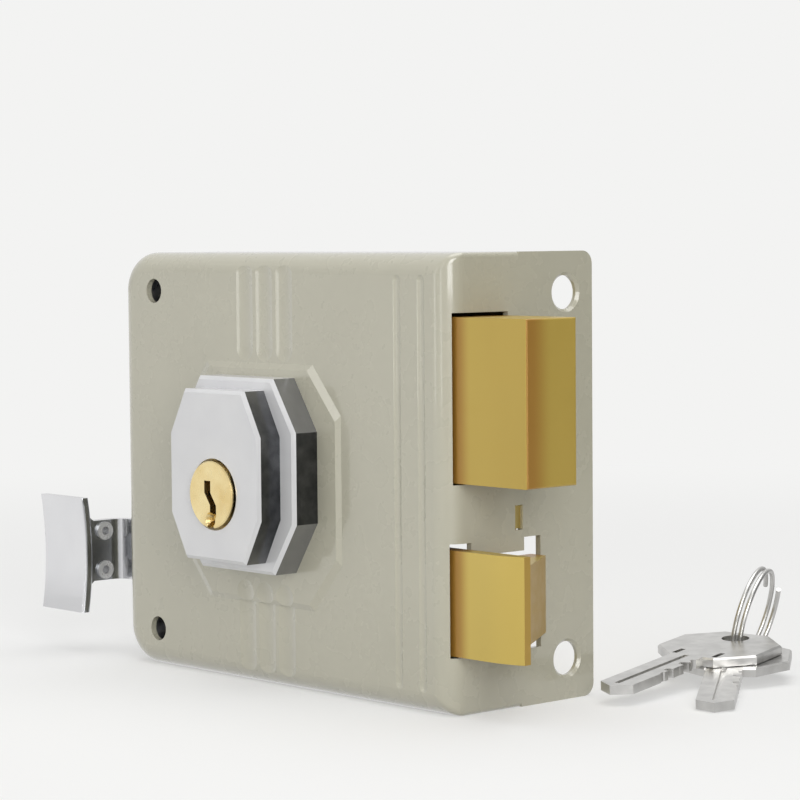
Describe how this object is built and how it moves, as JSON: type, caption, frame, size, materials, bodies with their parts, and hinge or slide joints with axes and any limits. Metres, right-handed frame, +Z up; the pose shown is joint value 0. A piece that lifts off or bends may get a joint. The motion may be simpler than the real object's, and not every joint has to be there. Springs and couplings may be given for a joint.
{
  "type": "rim box lock",
  "caption": "Surface-mounted rim box lock with square deadbolt, spring latch with side pull, guarded key cylinder and keys.",
  "frame": {"origin": "where the cylinder axis meets the door face, which is the plane of the open back of the case", "axes": "+X the way the bolts are thrown, +Y into the door, +Z up"},
  "size_m": [0.1763, 0.1185, 0.095],
  "materials": {
    "case_paint": "gloss",
    "zinc_yellow": "satin",
    "zinc_steel": "satin",
    "bare_steel": "satin",
    "spring_steel": "satin",
    "bolt_brass": "satin",
    "cylinder_brass": "gloss",
    "guard_chrome": "satin",
    "grip_chrome": "gloss",
    "key_nickel": "satin"
  },
  "bodies": {
    "case": {"cover_shell": "case_paint", "back_plate": "zinc_yellow", "screw_tubes": "zinc_steel", "case_posts": "zinc_steel", "back_plate_screws": "zinc_steel", "tail_guide_post": "zinc_steel", "detent_leaf_spring": "spring_steel", "detent_post": "zinc_steel", "latch_spring_anchor": "zinc_yellow", "latch_spring": "spring_steel", "cylinder_guard": "guard_chrome", "guard_screws": "zinc_steel", "cylinder_housing": "cylinder_brass", "pin_cover": "cylinder_brass", "driver_pins": "cylinder_brass", "pin_springs": "spring_steel"},
    "plug": {"cylinder_plug": "cylinder_brass", "plug_clip": "spring_steel", "key_pins": "cylinder_brass", "drive_pinion": "bare_steel"},
    "deadbolt": {"deadbolt_head": "bolt_brass", "deadbolt_tail": "bare_steel", "deadbolt_rivets": "zinc_steel"},
    "latch": {"latch_head": "bolt_brass", "latch_strip": "bare_steel", "latch_rivets": "zinc_steel", "pull_arm": "grip_chrome", "pull_grip": "grip_chrome", "pull_rivets": "grip_chrome"},
    "key_set": {"key_lower": "key_nickel", "key_upper": "key_nickel", "key_ring": "key_nickel"}
  },
  "joints": [
    {"name": "plug_turn", "type": "hinge", "parent": "case", "child": "plug", "pos_m": [0, 0, 0], "axis": [0, -1, 0], "range_deg": [0, 360]},
    {"name": "deadbolt_slide", "type": "slide", "parent": "case", "child": "deadbolt", "axis": [-1, 0, 0], "range_m": [0, 0.01979]},
    {"name": "latch_slide", "type": "slide", "parent": "case", "child": "latch", "axis": [-1, 0, 0], "range_m": [0, 0.0173], "stiffness_N_per_m": 400, "springref_m": -0.012, "deforming": ["latch_spring"]},
    {"name": "key_set_lift", "type": "slide", "parent": "case", "child": "key_set", "axis": [0, 0, 1], "range_m": [0, 0.05]}
  ],
  "couplings": [
    {"joint": "plug_turn", "follows": "deadbolt_slide", "rad_per_m": 317.46}
  ]
}
